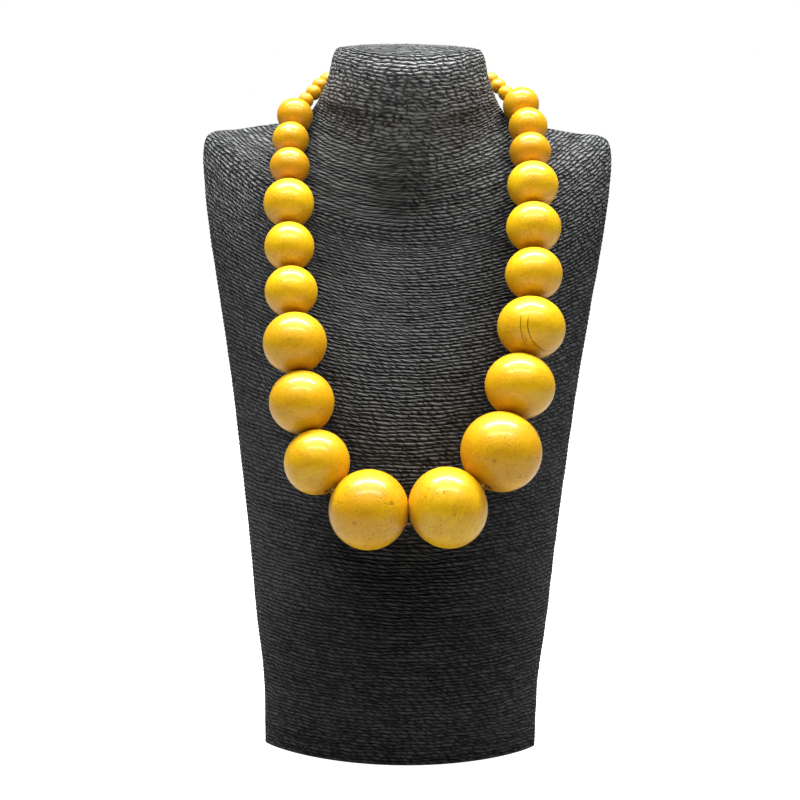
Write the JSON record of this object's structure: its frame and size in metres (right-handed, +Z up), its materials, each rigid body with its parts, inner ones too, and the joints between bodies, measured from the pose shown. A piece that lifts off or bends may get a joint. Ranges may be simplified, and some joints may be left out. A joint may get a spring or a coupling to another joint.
{
  "type": "beaded necklace on a neck bust",
  "caption": "Graduated necklace of big lacquered yellow wooden beads, hanging round a freestanding neck bust wound with dark paper twine.",
  "frame": {"origin": "middle of the flat face that the bust stands on", "axes": "+X across the shoulders (the wearer's left), +Y to the back, +Z up"},
  "size_m": [0.212, 0.1891, 0.352],
  "materials": {
    "large_bead_wood": "dyed golden yellow wood under gloss lacquer, dark pores",
    "medium_bead_wood": "dyed yellow wood under gloss lacquer, fine grain",
    "small_bead_wood": "dyed orange-yellow wood under gloss lacquer",
    "paper_twine": "black two-ply paper twine, wound turn beside turn, dull with small glints",
    "thread": "waxed cotton thread",
    "clasp_metal": "polished"
  },
  "bodies": {
    "root": {"bead_back_left_09": "small_bead_wood", "bead_back_left_08": "small_bead_wood", "bead_back_left_07": "small_bead_wood", "bead_back_left_06": "small_bead_wood", "bead_back_left_05": "small_bead_wood", "bead_back_left_04": "small_bead_wood", "bead_back_left_03": "small_bead_wood", "bead_back_left_02": "small_bead_wood", "bead_back_left_01": "small_bead_wood", "bead_left_01": "small_bead_wood", "bead_left_02": "small_bead_wood", "bead_left_03": "small_bead_wood", "bead_left_04": "medium_bead_wood", "bead_left_05": "medium_bead_wood", "bead_left_06": "medium_bead_wood", "bead_left_07": "medium_bead_wood", "bead_left_08": "medium_bead_wood", "bead_left_09": "medium_bead_wood", "bead_left_10": "large_bead_wood", "bead_middle": "large_bead_wood", "bead_right_09": "large_bead_wood", "bead_right_08": "medium_bead_wood", "bead_right_07": "medium_bead_wood", "bead_right_06": "medium_bead_wood", "bead_right_05": "medium_bead_wood", "bead_right_04": "medium_bead_wood", "bead_right_03": "small_bead_wood", "bead_right_02": "small_bead_wood", "bead_right_01": "small_bead_wood", "bead_back_right_01": "small_bead_wood", "bead_back_right_02": "small_bead_wood", "bead_back_right_03": "small_bead_wood", "bead_back_right_04": "small_bead_wood", "bead_back_right_05": "small_bead_wood", "bead_back_right_06": "small_bead_wood", "bead_back_right_07": "small_bead_wood", "bead_back_right_08": "small_bead_wood", "clasp": "clasp_metal", "thread": "thread", "bust": "paper_twine"}
  },
  "joints": []
}
